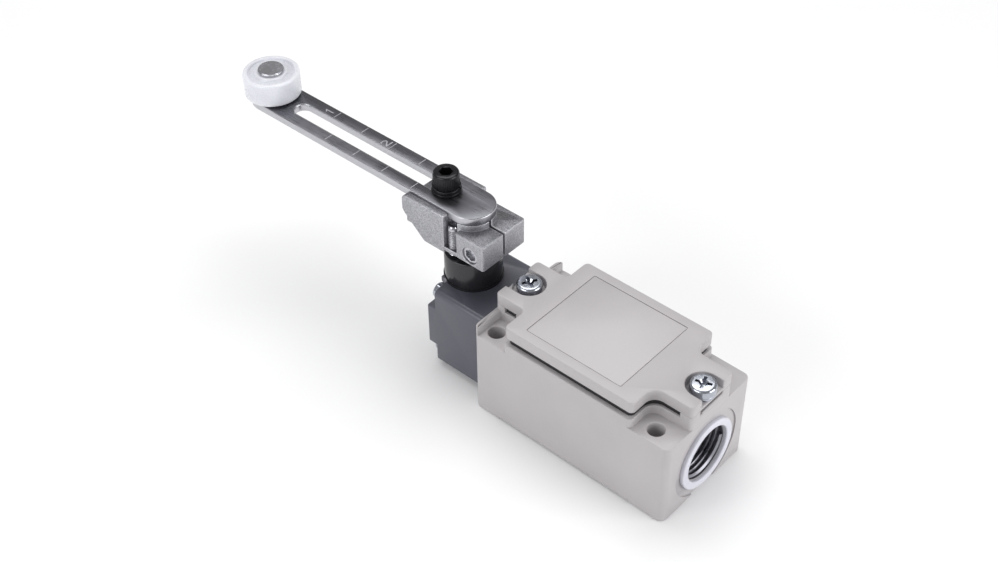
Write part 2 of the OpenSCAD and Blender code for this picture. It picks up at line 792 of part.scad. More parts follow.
module drive_plunger() {
    color([0.72, 0.72, 0.74]) {
        y_cylinder(0, plunger_z, plunger_head_r, plunger_face_y - plunger_head_t, plunger_face_y);
        y_cylinder(0, plunger_z, plunger_r, plunger_tip_y, plunger_face_y - 0.5);
    }
}

module contact_carrier() {
    color([0.55, 0.10, 0.10]) difference() {
        translate([-3.4, -1.5, plunger_z - 4]) cube([6.8, 13.5, 6.8]);
        translate([-4, bridge_y - bridge_t/2, plunger_z - 2]) cube([8, bridge_t, 4]);
    }
}

module contact_bridge() {
    color([0.78, 0.52, 0.36]) {
        translate([-10, bridge_y - bridge_t/2, plunger_z - 2]) cube([20, bridge_t, 4]);
        for (s = [-1, 1]) y_cylinder(s*contact_x, plunger_z, contact_r,
            bridge_y - bridge_t/2 - contact_h, bridge_y + bridge_t/2 + contact_h);
    }
}

base_housing();
cover();
cover_gasket();
cover_screws();
cover_screw_washers();
rating_panel();
conduit_ring();
head_housing();
head_gasket();
head_screws();
turret_collar();
shaft_seal();
upper_bush();
lower_bush();
plunger_bush();
plunger_seal();
switch_case();
switch_lid();
case_screws();
nc_contacts();
no_contacts();
terminal_screws();
terminal_clamps();
ground_screw();
ground_washer();
return_spring();
rotary_shaft();
drive_cam();
shaft_circlip();
lever_hub();
hub_clamp_screw();
hub_side_screw();
lock_screw();
lock_spring_washer();
lock_washer();
lever_arm();
roller_pin();
roller_washer();
roller();
drive_plunger();
contact_carrier();
contact_bridge();
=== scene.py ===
import json
import math

import bmesh
import bpy
from mathutils import Matrix, Vector
from mathutils.bvhtree import BVHTree


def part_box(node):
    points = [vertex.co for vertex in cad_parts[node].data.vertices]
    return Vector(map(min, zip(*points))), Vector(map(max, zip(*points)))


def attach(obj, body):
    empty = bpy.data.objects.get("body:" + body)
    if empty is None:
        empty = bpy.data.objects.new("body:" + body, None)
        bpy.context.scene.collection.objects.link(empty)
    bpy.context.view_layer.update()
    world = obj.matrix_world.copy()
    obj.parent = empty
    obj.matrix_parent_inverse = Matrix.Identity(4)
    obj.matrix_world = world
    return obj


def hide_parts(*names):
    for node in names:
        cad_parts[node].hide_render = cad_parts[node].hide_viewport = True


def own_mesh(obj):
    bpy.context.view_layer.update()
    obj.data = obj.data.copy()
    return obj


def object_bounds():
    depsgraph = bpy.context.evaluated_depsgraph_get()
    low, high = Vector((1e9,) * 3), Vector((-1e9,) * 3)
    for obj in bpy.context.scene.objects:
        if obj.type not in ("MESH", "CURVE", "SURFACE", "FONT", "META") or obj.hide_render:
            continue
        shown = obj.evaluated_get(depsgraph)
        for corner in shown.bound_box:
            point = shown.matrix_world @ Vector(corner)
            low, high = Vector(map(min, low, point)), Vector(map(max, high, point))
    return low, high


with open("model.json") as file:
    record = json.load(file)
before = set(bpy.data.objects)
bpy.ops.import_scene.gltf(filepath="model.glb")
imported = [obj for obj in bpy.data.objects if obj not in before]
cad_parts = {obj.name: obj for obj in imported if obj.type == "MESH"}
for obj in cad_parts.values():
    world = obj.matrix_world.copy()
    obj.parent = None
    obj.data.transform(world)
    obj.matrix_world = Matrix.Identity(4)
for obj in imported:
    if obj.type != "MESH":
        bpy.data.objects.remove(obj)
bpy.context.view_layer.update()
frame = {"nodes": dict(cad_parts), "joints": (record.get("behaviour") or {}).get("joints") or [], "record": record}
MM = 0.001
SHARP = math.radians(38)    # smooth shading breaks at edges sharper than this
ROUNDED = math.radians(32)  # outer edges sharper than this are rounded
SHARES = (1, 0.93, 0.86, 0.8, 0.73, 0.67, 0.6, 0.53, 0.45, 0.35, 0.25)  # widths to try
BODY = {n: b for b, ns in frame["record"]["behaviour"]["bodies"].items() for n in ns}
SLOT = {s["node"]: s["material_slot"] for s in frame["record"]["subparts"]}
MATERIALS = {}

# ---------------------------------------------------------------- meshes


def new_object(name, bm):
    """A smooth-shaded object from a bmesh, sharp only where faces meet at a real edge."""
    bmesh.ops.recalc_face_normals(bm, faces=bm.faces)
    me = bpy.data.meshes.new(name)
    bm.to_mesh(me)
    bm.free()
    me.polygons.foreach_set("use_smooth", [True] * len(me.polygons))
    me.set_sharp_from_angle(angle=SHARP)
    obj = bpy.data.objects.new(name, me)
    bpy.context.scene.collection.objects.link(obj)
    return obj


def cad_mesh(node):
    """A copy of a CAD node's mesh with its flat faces made whole."""
    bm = bmesh.new()
    bm.from_mesh(frame["nodes"][node].data)
    bmesh.ops.remove_doubles(bm, verts=bm.verts, dist=2e-6)
    bmesh.ops.dissolve_limit(bm, angle_limit=math.radians(0.5), verts=bm.verts,
                             edges=bm.edges, use_dissolve_boundaries=False)
    return bm


def weigh_edges(bm, width):
    """Bevel weight of each edge: 1 on sharp outer edges with room for the rounding, else 0."""
    clearance = 2.2 * width * MM
    layer = bm.edges.layers.float.new("bevel_weight_edge")
    for e in bm.edges:
        if len(e.link_faces) != 2 or not e.is_convex or e.calc_face_angle(0) < ROUNDED:
            continue
        start = e.verts[0].co
        along = (e.verts[1].co - start).normalized()
        room = [max((v.co - start).cross(along).length for v in f.verts)
                for f in e.link_faces]
        for v in e.verts:
            for other in v.link_edges:
                if other is not e and other.calc_face_angle(0) < ROUNDED:
                    way = other.other_vert(v).co - v.co
                    room.append(way.cross(along).length)
        e[layer] = float(min(room) > clearance)


def heal(obj, tree, reach):
    """Puts back any vertex that the rounding threw off or outside the old surface."""
    outside = 1e-6
    for v in obj.data.vertices:
        spot, normal, _, gap = tree.find_nearest(v.co)
        if gap > reach * MM or (v.co - spot).dot(normal) > outside:
            v.co = spot


def bake(obj):
    """Applies the modifiers, so that later cuts work on the finished surface."""
    dg = bpy.context.evaluated_depsgraph_get()
    me = bpy.data.meshes.new_from_object(obj.evaluated_get(dg))
    obj.modifiers.clear()
    obj.data = me
    me.polygons.foreach_set("use_smooth", [True] * len(me.polygons))
    me.set_sharp_from_angle(angle=SHARP)
    return obj


def carve(obj, tools):
    """Cuts each tool out of obj, worked in millimetres; the tools are used up."""
    grow = Matrix.Scale(1 / MM, 4)
    obj.data.transform(grow)
    for tool in tools:
        tool.data.transform(grow)
        mod = obj.modifiers.new("carve", "BOOLEAN")
        mod.operation = "DIFFERENCE"
        mod.solver = "EXACT"
        mod.object = tool
        bake(obj)
        bpy.data.objects.remove(tool)
    obj.data.transform(Matrix.Scale(MM, 4))
    return obj


def swing(centre, axis, radius, height, angle):
    """The point at a radius, height and angle (mm, radians) about an axis through centre."""
    x, y, z = radius * math.cos(angle), radius * math.sin(angle), height
    if axis == "Y":
        x, y, z = x, z, -y
    return Vector(centre) + Vector((x, y, z)) * MM


def lathe(name, profile, centre, axis="Z", steps=96):
    """A solid of revolution from (radius, height) pairs in mm about an axis through centre."""
    bm = bmesh.new()
    rings = []
    for i in range(steps):
        a = 2 * math.pi * i / steps
        rings.append([bm.verts.new(swing(centre, axis, r, h, a)) for r, h in profile])
    n = len(profile)
    for i in range(steps):
        a, b = rings[i], rings[(i + 1) % steps]
        for j in range(n):
            k = (j + 1) % n
            bm.faces.new((a[j], b[j], b[k], a[k]))
    bmesh.ops.remove_doubles(bm, verts=bm.verts, dist=1e-7)
    return new_object(name, bm)


def prism(name, outline, z0, z1, matrix=None, taper=1.0):
    """An outline of (x, y) pairs in mm pushed from z0 to z1; taper scales its top."""
    bm = bmesh.new()
    low = [bm.verts.new((x * MM, y * MM, z0 * MM)) for x, y in outline]
    high = [bm.verts.new((x * MM * taper, y * MM * taper, z1 * MM)) for x, y in outline]
    n = len(outline)
    bm.faces.new(low[::-1])
    bm.faces.new(high)
    for i in range(n):
        j = (i + 1) % n
        bm.faces.new((low[i], low[j], high[j], high[i]))
    if matrix is not None:
        bm.transform(matrix)
    return new_object(name, bm)


def helix(name, centre, axis, radius, pitch, length, width, depth, start=0.0, steps=48):
    """A V-shaped ridge wound round an axis, used for screw threads (mm).

    A positive depth raises the ridge away from the axis, a negative one towards it.
    """
    crest = 0.12 * width
    bm = bmesh.new()
    count = int(length / pitch * steps)
    section = ((0, -width / 2), (depth, -crest), (depth, crest), (0, width / 2))
    rows = []
    for i in range(count + 1):
        a = 2 * math.pi * i / steps
        climb = start + pitch * i / steps
        rows.append([bm.verts.new(swing(centre, axis, radius + dr, climb + dh, a))
                     for dr, dh in section])
    for a, b in zip(rows, rows[1:]):
        for j in range(4):
            k = (j + 1) % 4
            bm.faces.new((a[j], b[j], b[k], a[k]))
    bm.faces.new(rows[0])
    bm.faces.new(rows[-1][::-1])
    return new_object(name, bm)


def mid(node):
    """Centre of a CAD node's box, in metres."""
    low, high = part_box(node)
    return (Vector(low) + Vector(high)) / 2


def mount(name):
    return next(m for m in frame["record"]["mounts"] if m["name"] == name)


def joint(name):
    return next(j for j in frame["joints"] if j["name"] == name)


# ---------------------------------------------------------------- materials


class Graph:
    """Short names for building one material's node tree."""

    def __init__(self, name):
        self.material = bpy.data.materials.new(name)
        self.material.use_nodes = True
        self.tree = self.material.node_tree
        self.shader = self.tree.nodes["Principled BSDF"]
        coord = self.tree.nodes.new("ShaderNodeTexCoord")
        self.coord = coord.outputs["Object"]

    def stretch(self, scale):
        node = self.tree.nodes.new("ShaderNodeMapping")
        node.inputs["Scale"].default_value = scale
        self.tree.links.new(self.coord, node.inputs["Vector"])
        return node.outputs["Vector"]

    def noise(self, scale, detail=3.0, rough=0.55, vector=None):
        node = self.tree.nodes.new("ShaderNodeTexNoise")
        node.inputs["Scale"].default_value = scale
        node.inputs["Detail"].default_value = detail
        node.inputs["Roughness"].default_value = rough
        self.tree.links.new(vector or self.coord, node.inputs["Vector"])
        return node.outputs["Fac"]

    def voronoi(self, scale):
        node = self.tree.nodes.new("ShaderNodeTexVoronoi")
        node.inputs["Scale"].default_value = scale
        self.tree.links.new(self.coord, node.inputs["Vector"])
        return node.outputs["Distance"]

    def remap(self, value, a, b, low, high):
        node = self.tree.nodes.new("ShaderNodeMapRange")
        node.inputs["From Min"].default_value = a
        node.inputs["From Max"].default_value = b
        node.inputs["To Min"].default_value = low
        node.inputs["To Max"].default_value = high
        self.tree.links.new(value, node.inputs["Value"])
        return node.outputs["Result"]

    def colour(self, value, dark, light, a=0.3, b=0.7):
        node = self.tree.nodes.new("ShaderNodeValToRGB")
        node.color_ramp.elements[0].position = a
        node.color_ramp.elements[0].color = (*dark, 1)
        node.color_ramp.elements[1].position = b
        node.color_ramp.elements[1].color = (*light, 1)
        self.tree.links.new(value, node.inputs["Fac"])
        return node.outputs["Color"]

    def math(self, kind, a, b):
        node = self.tree.nodes.new("ShaderNodeMath")
        node.operation = kind
        for socket, value in zip(node.inputs, (a, b)):
            if isinstance(value, (int, float)):
                socket.default_value = value
            else:
                self.tree.links.new(value, socket)
        return node.outputs["Value"]

    def mix(self, fac, a, b):
        node = self.tree.nodes.new("ShaderNodeMix")
        node.data_type = "RGBA"
        self.tree.links.new(fac, node.inputs["Factor"])
        for key, value in (("A", a), ("B", b)):
            socket = next(s for s in node.inputs if s.name == key and s.type == "RGBA")
            if isinstance(value, tuple):
                socket.default_value = (*value, 1)
            else:
                self.tree.links.new(value, socket)
        return next(s for s in node.outputs if s.type == "RGBA")

    def edges(self, radius):
        """0 on flats and 1 on convex edges, from how far a bevelled normal turns."""
        bevel = self.tree.nodes.new("ShaderNodeBevel")
        bevel.samples = 6
        bevel.inputs["Radius"].default_value = radius * MM
        geo = self.tree.nodes.new("ShaderNodeNewGeometry")
        dot = self.tree.nodes.new("ShaderNodeVectorMath")
        dot.operation = "DOT_PRODUCT"
        self.tree.links.new(bevel.outputs["Normal"], dot.inputs[0])
        self.tree.links.new(geo.outputs["Normal"], dot.inputs[1])
        return self.remap(dot.outputs["Value"], 0.99, 0.80, 0.0, 1.0)

    def upright(self):
        """0 on faces that look up or down and 1 on faces that stand."""
        geo = self.tree.nodes.new("ShaderNodeNewGeometry")
        split = self.tree.nodes.new("ShaderNodeSeparateXYZ")
        self.tree.links.new(geo.outputs["Normal"], split.inputs[0])
        return self.remap(self.math("ABSOLUTE", split.outputs["Z"], 0.0), 0.95, 0.5, 0.0, 1.0)

    def bump(self, height, strength, distance):
        node = self.tree.nodes.new("ShaderNodeBump")
        node.inputs["Strength"].default_value = strength
        node.inputs["Distance"].default_value = distance * MM
        self.tree.links.new(height, node.inputs["Height"])
        previous = self.shader.inputs["Normal"]
        if previous.is_linked:
            self.tree.links.new(previous.links[0].from_socket, node.inputs["Normal"])
        self.tree.links.new(node.outputs["Normal"], previous)

    def feed(self, socket, value):
        target = self.shader.inputs[socket]
        if isinstance(value, (int, float)):
            target.default_value = value
        elif isinstance(value, tuple):
            target.default_value = (*value, 1)
        else:
            self.tree.links.new(value, target)


def srgb(r, g, b):
    """Linear colour from an sRGB triple of 0 to 255."""
    out = []
    for c in (r, g, b):
        c = c / 255
        out.append(c / 12.92 if c <= 0.04045 else ((c + 0.055) / 1.055) ** 2.4)
    return tuple(out)


def shade(colour, k):
    return tuple(min(1.0, c * k) for c in colour)


def painted(name, colour, rough=0.42, pebble=0.35, grain=3500, coat=0.12):
    """Enamel on a casting: a fine pebbled skin, uneven gloss, slight dust."""
    g = Graph(name)
    wide = g.noise(60, 4)
    fine = g.noise(grain, 2)
    g.feed("Base Color", g.mix(g.remap(fine, 0.35, 0.65, 0.0, 1.0),
                               g.colour(wide, shade(colour, 0.95), shade(colour, 1.02)),
                               g.colour(wide, shade(colour, 0.99), shade(colour, 1.06))))
    g.feed("Roughness", g.remap(g.math("ADD", fine, wide), 0.7, 1.3, rough - 0.07, rough + 0.09))
    g.feed("Metallic", 0.0)
    g.feed("Coat Weight", coat)
    g.feed("Coat Roughness", 0.3)
    g.bump(fine, pebble, 0.02)
    g.bump(g.noise(450, 3), 0.25, 0.05)
    return g.material


def metal(name, colour, rough=0.3, along=None, scratch=0.2, painted_edge_highlight=0.0, metallic=1.0, pits=0.0,
          streak=1.0, sides=None):
    """Bare or plated metal with a drawn or turned grain; painted light can lighten its standing faces and put a
    painted highlight on its convex edges.
    """
    g = Graph(name)
    across, lengthwise, even = 2600, 90, 900
    scale = [lengthwise if k == along else across if along else even for k in "XYZ"]
    grain = g.noise(1.0, 4, 0.6, g.stretch(scale))
    cloud = g.noise(130, 4)
    darkest, dark, light = (shade(colour, 1 + k * streak) for k in (-0.20, -0.05, 0.18))
    tone = g.mix(g.remap(grain, 0.3, 0.7, 0.0, 1.0),
                 g.colour(cloud, darkest, dark), g.colour(cloud, colour, light))
    # painted light: standing faces take a lighter tone than tops and bottoms, in place of the light falling on
    # them
    if sides:
        tone = g.mix(g.upright(), tone, sides)
    # painted highlight: convex edges brightened towards pale grey, in place of light catching them
    if painted_edge_highlight:
        tone = g.mix(g.math("MULTIPLY", g.edges(0.7), painted_edge_highlight), tone, (0.78, 0.78, 0.80))
    g.feed("Base Color", tone)
    g.feed("Metallic", metallic)
    g.feed("Roughness", g.remap(g.math("ADD", grain, cloud), 0.7, 1.3, rough - 0.09, rough + 0.12))
    if along:
        g.feed("Anisotropic", 0.45)
    g.bump(grain, scratch, 0.015)
    if pits:
        g.bump(g.voronoi(1500), pits, 0.05)
        g.bump(g.noise(700, 4, 0.7), pits, 0.08)
    return g.material


def plastic(name, colour, rough=0.4, grain=0.12, subsurface=0.0, radius=2.0):
    """Moulded plastic or rubber with a faint mould texture."""
    g = Graph(name)
    wide = g.noise(90, 3)
    fine = g.noise(2600, 2)
    g.feed("Base Color", g.colour(wide, shade(colour, 0.93), shade(colour, 1.05)))
    g.feed("Roughness", g.remap(fine, 0.3, 0.7, rough - 0.05, rough + 0.08))
    if subsurface:
        g.feed("Subsurface Weight", subsurface)
        g.shader.inputs["Subsurface Radius"].default_value = (radius * MM,) * 3
        g.shader.inputs["Subsurface Scale"].default_value = 1.0
    g.bump(fine, grain, 0.015)
    g.bump(g.noise(500, 2), grain, 0.03)
    return g.material


def speckled(name, dark, light, sides, rough=0.42):
    """Sintered steel: pale grains over a darker pressed skin, with open pores; standing faces get a painted
    lighter tone and convex edges a painted highlight.
    """
    g = Graph(name)
    cells = g.voronoi(3200)
    grit = g.noise(2600, 5, 0.75)
    mix = g.remap(g.math("SUBTRACT", grit, g.math("MULTIPLY", cells, 0.35)), 0.18, 0.5, 0.0, 1.0)
    tone = g.mix(mix, dark, light)
    # painted light: standing faces take the lighter side tone, in place of the light falling on them
    tone = g.mix(g.math("MULTIPLY", g.upright(), 0.75), tone,
                 g.mix(mix, shade(sides, 0.62), shade(sides, 1.25)))
    # painted highlight: convex edges brightened to pale grey
    tone = g.mix(g.math("MULTIPLY", g.edges(0.8), 0.7), tone, (0.76, 0.76, 0.79))
    g.feed("Base Color", tone)
    g.feed("Metallic", 0.85)
    g.feed("Roughness", g.remap(grit, 0.3, 0.7, rough + 0.1, rough - 0.08))
    g.bump(grit, 0.35, 0.03)
    g.bump(cells, 0.25, 0.03)
    return g.material


def make_materials():
    """One look for each slot, and two for details that have no slot of their own."""
    enamel = (0.450, 0.430, 0.436)
    looks = {
        "die_cast_housing": (painted, dict(colour=enamel)),
        "bare_casting": (metal, dict(colour=(0.30, 0.30, 0.33), rough=0.34, scratch=0.2)),
        "dark_die_cast": (painted, dict(colour=srgb(78, 79, 89), rough=0.38, pebble=0.6,
                                        grain=1800, coat=0.2)),
        "zinc_plated_steel": (metal, dict(colour=(0.44, 0.46, 0.51), rough=0.17, scratch=0.1,
                                          streak=0.6)),
        "panel_foil": (painted, dict(colour=shade(enamel, 1.01), rough=0.36, pebble=0.15,
                                     coat=0.2)),
        "white_plastic": (plastic, dict(colour=srgb(212, 212, 221), rough=0.42,
                                        subsurface=0.25)),
        "black_plastic": (plastic, dict(colour=(0.016, 0.016, 0.019), rough=0.18)),
        "seal_rubber": (plastic, dict(colour=(0.014, 0.013, 0.016), rough=0.6, grain=0.3)),
        "sintered_bronze": (metal, dict(colour=(0.60, 0.40, 0.18), rough=0.4, pits=0.3)),
        "switch_plastic": (plastic, dict(colour=(0.030, 0.030, 0.036), rough=0.5)),
        "contact_copper": (metal, dict(colour=(0.72, 0.36, 0.20), rough=0.28, along="X")),
        "terminal_brass": (metal, dict(colour=(0.70, 0.52, 0.22), rough=0.3)),
        "spring_steel": (metal, dict(colour=(0.40, 0.41, 0.43), rough=0.28, scratch=0.1)),
        "machined_steel": (metal, dict(colour=(0.50, 0.50, 0.53), rough=0.24, scratch=0.12,
                                       streak=0.5)),
        "hardened_steel": (metal, dict(colour=(0.34, 0.35, 0.37), rough=0.22)),
        # painted light: the side tone lightens standing faces over the darker grains of the tops
        "sintered_steel": (speckled, dict(dark=(0.10, 0.10, 0.11), light=(0.29, 0.29, 0.31),
                                          sides=(0.52, 0.52, 0.55))),
        "black_steel": (metal, dict(colour=(0.018, 0.018, 0.021), rough=0.2, scratch=0.06,
                                    metallic=0.6)),
        # painted light: lighter standing faces, and painted highlights on convex edges
        "lever_steel": (metal, dict(colour=(0.17, 0.17, 0.187), rough=0.30, along="Y",
                                    scratch=0.08, painted_edge_highlight=0.9, streak=0.35,
                                    sides=(0.52, 0.52, 0.55))),
        "mark": (metal, dict(colour=(0.46, 0.46, 0.49), rough=0.5, scratch=0.2)),
        "roller_nylon": (plastic, dict(colour=srgb(216, 217, 223), rough=0.26, subsurface=0.6,
                                       radius=4.0)),
        "carrier_plastic": (plastic, dict(colour=(0.20, 0.016, 0.012), rough=0.45)),
    }
    for name, (kind, settings) in looks.items():
        MATERIALS[name] = kind(name, **settings)


def dress(obj, node, material=None):
    """Gives a piece the node's body and slot, and the slot's look unless told otherwise."""
    obj.data.materials.clear()
    obj.data.materials.append(MATERIALS[material or SLOT[node]])
    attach(obj, BODY[node])


# ---------------------------------------------------------------- pieces


def sound(obj, tree):
    """True if no triangle of a rounded piece strays from the old surface."""
    allowed = 0.2 * MM
    bm = bmesh.new()
    bm.from_mesh(obj.data)
    bmesh.ops.triangulate(bm, faces=bm.faces)
    least = 0.05 * MM ** 2
    gaps = [tree.find_nearest(f.calc_center_median())[3] for f in bm.faces if f.calc_area() > least]
    bm.free()
    return max(gaps) < allowed


def skin(node, width, segments=3):
    """The CAD node's shape with its outer edges rounded by width, or by the most it bears."""
    deepest = 0.42      # of the width: how far a rounding may lie under the old surface
    tree = BVHTree.FromBMesh(cad_mesh(node))
    for share in SHARES:
        bm = cad_mesh(node)
        weigh_edges(bm, share * width)
        obj = new_object(node + "_skin", bm)
        mod = obj.modifiers.new("soften", "BEVEL")
        mod.width = share * width * MM
        mod.segments = segments
        mod.limit_method = "WEIGHT"
        mod.use_clamp_overlap = False
        heal(bake(obj), tree, deepest * share * width)
        if sound(obj, tree):
            return obj
        bpy.data.objects.remove(obj)
    return new_object(node + "_skin", cad_mesh(node))


def cross_recess(centre, radius, depth, turn=0.0):
    """Two crossed, tapered wings and a cone: the recess of a cross-head screw (facing +Z)."""
    wing = radius * 0.36
    narrow, slim = 0.72, 0.8    # foot of a wing, as shares of the radius and the width
    over = 0.6
    x, y = radius * narrow, wing / 2 * slim
    tools = []
    for k in range(2):
        m = Matrix.Translation(centre) @ Matrix.Rotation(turn + k * math.pi / 2, 4, "Z")
        tools.append(prism("wing", [(-x, -y), (x, -y), (x, y), (-x, y)], -depth, over, m,
                           1 / narrow))
    mouth = radius * 0.52
    cone = [(0, -depth * 1.15), (mouth, 0.0), (mouth, over), (0, over)]
    tools.append(lathe("cone", cone, centre, steps=24))
    return tools


def pan_head(name, centre, radius, height, shank, shank_len, turn, recess):
    """Pan-head screw standing on its seat at centre, facing +Z."""
    dome, foot = 0.95, 0.15
    angles = [math.radians(90 * i / 8) for i in range(9)]
    profile = [(0, height)]
    profile += [(radius - dome + dome * math.sin(a), height - dome + dome * math.cos(a))
                for a in angles]
    profile += [(radius, foot), (radius - foot, 0)]
    profile += [(shank, 0), (shank, -shank_len), (0, -shank_len)]
    screw = lathe(name, profile, centre, steps=72)
    top = Vector(centre) + Vector((0, 0, height * MM))
    return carve(screw, cross_recess(top, radius * recess, height * 0.62, turn))


make_materials()
replaced = set()


def add(node, obj):
    """Lets a piece stand for the node."""
    dress(obj, node)
    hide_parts(node)
    replaced.add(node)


def build_housing():
    add("base_housing", skin("base_housing", 0.4))
    build_conduit_thread()
    add("cover", skin("cover", 0.42))
    add("cover_gasket", skin("cover_gasket", 0.12, 2))
    add("rating_panel", skin("rating_panel", 0.06, 2))
    build_conduit_ring()


def build_conduit_thread():
    """Bare machined sleeve in the conduit bore with the thread's ridges."""
    entry = mount("conduit_entry")
    r = entry["dims"]["r_mm"]
    length = entry["dims"]["length_mm"]
    centre = (0, 0, entry["pos_m"][2])
    pitch, ridge, height = 1.5, 1.45, 0.75
    inner, outer = r - 0.12, r - 0.02
    y0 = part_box("conduit_ring")[1][1] / MM
    y1 = y0 + length - 1.0
    sleeve = lathe("conduit_sleeve", [(inner, y0), (outer, y0), (outer, y1), (inner, y1)],
                   centre, "Y", 128)
    thread = helix("conduit_thread", centre, "Y", r - 0.06, pitch, length - 2.5, ridge,
                   -height, start=y0 + 0.9, steps=96)
    dress(join("conduit_thread_set", [sleeve, thread]), "base_housing", "bare_casting")


def build_conduit_ring():
    """White ring with a rounded lip."""
    low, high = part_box("conduit_ring")
    entry = mount("conduit_entry")
    front, back = low[1] / MM, high[1] / MM
    inner = entry["dims"]["r_mm"] + 0.25
    outer = (high[0] - low[0]) / 2 / MM
    lip = 0.45
    y = front + lip
    profile = []
    for x, first in ((outer - lip, 0), (inner + lip, 90)):
        for i in range(7):
            a = math.radians(first + 90 * i / 6)
            profile.append((x + lip * math.cos(a), y - lip * math.sin(a)))
    profile += [(inner, back), (outer, back)]
    add("conduit_ring", lathe("conduit_ring_lip", profile, (0, 0, entry["pos_m"][2]), "Y", 128))


def build_screws():
    low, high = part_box("cover_screws")
    radius = (high[0] - low[0]) / 2 / MM
    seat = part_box("cover_screw_washers")[1][2] / MM
    height = high[2] / MM - seat
    made = []
    for y, turn in ((low[1] + radius * MM, 0.35), (high[1] - radius * MM, 1.05)):
        made.append(pan_head("cover_screw", Vector((0, y, seat * MM)), radius, height, 2.0,
                             seat - low[2] / MM, turn, 0.68))
    join_as("cover_screws", made)
    add("cover_screw_washers", skin("cover_screw_washers", 0.12, 2))

    low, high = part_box("head_screws")
    radius, height = 2.7, 2.4
    made = []
    lay = Matrix.Rotation(math.radians(-90), 4, "X")
    for i, x in enumerate((low[0] + radius * MM, high[0] - radius * MM)):
        for j, z in enumerate((low[2] + radius * MM, high[2] - radius * MM)):
            screw = pan_head("head_screw", Vector((0, 0, 0)), radius, height, 1.5,
                             (high[1] - low[1]) / MM - height, 0.4 + i + 2 * j, 0.6)
            screw.data.transform(Matrix.Translation((x, high[1] - height * MM, z)) @ lay)
            made.append(screw)
    join_as("head_screws", made)


def join(name, objects):
    """One object from several."""
    bm = bmesh.new()
    for o in objects:
        bm.from_mesh(o.data)
        bpy.data.objects.remove(o)
    return new_object(name, bm)


def join_as(node, objects):
    """One object from several, standing for the node."""
    add(node, join(node + "_set", objects))


def build_head():
    add("head_housing", skin("head_housing", 0.55))
    add("head_gasket", skin("head_gasket", 0.1, 2))
    add("turret_collar", skin("turret_collar", 0.4))

    # the return spring: the CAD coil copied into a mesh of its own
    spring = new_object("return_spring_coil", cad_mesh("return_spring"))
    add("return_spring", spring)
    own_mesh(spring)


def stroke(points, width):
    """Outlines of a run of flat strokes between points, in mm."""
    for (x0, y0), (x1, y1) in zip(points, points[1:]):
        dx, dy = x1 - x0, y1 - y0
        n = math.hypot(dx, dy)
        dx, dy = dx / n * width / 2, dy / n * width / 2
        yield [(x0 - dx + dy, y0 - dy - dx), (x1 + dx + dy, y1 + dy - dx),
               (x1 + dx - dy, y1 + dy + dx), (x0 - dx - dy, y0 - dy + dx)]


def build_scale():
    """Half-inch marks and inch numerals stamped into the lever's two rails."""
    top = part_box("lever_arm")[1][2] / MM
    axis_y = joint("lever_swing")["pos_m"][1] / MM
    pitch = 12.7
    rail, edge = 3.6, 6.6
    line = 0.3
    outlines = []
    for k in range(4):
        y = axis_y + (2.03 + k) * pitch
        outlines += stroke([(rail, y), (edge, y)], line)
        y -= 0.5 * pitch + 0.1
        outlines += stroke([(-edge, y), (-rail, y)], line)
    one = [(-0.5, 0.6), (0, 1.1), (0, -1.1)]
    two = [(-1.0, 0.75), (-0.9, 0.95), (-0.2, 1.0), (0.35, 0.7), (0.3, 0.2), (-0.4, -0.3),
           (-1.0, -0.9), (0.9, -0.9)]
    size, middle = 1.4, 5.0
    for points, y in ((one, axis_y + 67.4), (two, axis_y + 41.2)):
        for outline in stroke(points, line):
            outlines.append([(middle + size * px, y + size * py) for px, py in outline])
    bm = bmesh.new()
    for i, outline in enumerate(outlines):
        piece = prism("mark", outline, top - 0.05, top + 0.008 + 0.0004 * i)
        bm.from_mesh(piece.data)
        bpy.data.objects.remove(piece)
    dress(new_object("scale_marks", bm), "lever_arm", "mark")


def build_lever():
    add("lever_hub", skin("lever_hub", 0.45))
    add("lever_arm", skin("lever_arm", 0.38))
    build_scale()
    for node, width in (("hub_clamp_screw", 0.15), ("lock_spring_washer", 0.14),
                        ("lock_washer", 0.12), ("roller_washer", 0.06)):
        add(node, skin(node, width, 2))
    add("roller_pin", skin("roller_pin", 0.2))
    build_side_pin()


def build_side_pin():
    """Upright pin in the hub's side, with a thread along it."""
    low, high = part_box("hub_side_screw")
    centre = mid("hub_side_screw")
    r = (high[0] - low[0]) / 2 / MM
    z0, z1 = low[2] / MM, high[2] / MM
    pitch = 0.7
    root, crest = r - 0.36, r - 0.02
    profile = [(0, z0), (r - 0.5, z0), (r - 0.25, z0 + 0.3)]
    for i in range(int((z1 - z0 - 1.0) / pitch)):
        z = z0 + 0.5 + pitch * i
        profile += [(root, z), (crest, z + 0.3), (crest, z + 0.38)]
    profile += [(r - 0.3, z1 - 0.3), (r - 0.5, z1), (0, z1)]
    add("hub_side_screw", lathe("side_pin_thread", profile, (centre.x, centre.y, 0), steps=64))


def knurled_head(centre, r, seat, top):
    """Cylinder head with upright ridges and rounded ends."""
    ridges, groove = 48, 0.13
    steps = ridges * 4
    # height, share of the knurl, and how far the surface lies inside the head's radius
    levels = [(seat, 0, 0.25), (seat + 0.15, 1, 0.0), (top - 0.75, 1, 0.0), (top - 0.5, 0, 0.1),
              (top - 0.12, 0, 0.32), (top, 0, 0.6)]
    bm = bmesh.new()
    rows = []
    for z, knurl, inset in levels:
        row = []
        for i in range(steps):
            a = 2 * math.pi * i / steps
            rr = (r - inset - (groove if knurl and i % 4 in (2, 3) else 0.0)) * MM
            row.append(bm.verts.new((centre.x + rr * math.cos(a), centre.y + rr * math.sin(a),
                                     z * MM)))
        rows.append(row)
    for a, b in zip(rows, rows[1:]):
        for i in range(steps):
            j = (i + 1) % steps
            bm.faces.new((a[i], a[j], b[j], b[i]))
    bm.faces.new(rows[-1])
    bm.faces.new(rows[0][::-1])
    return new_object("lock_head", bm)


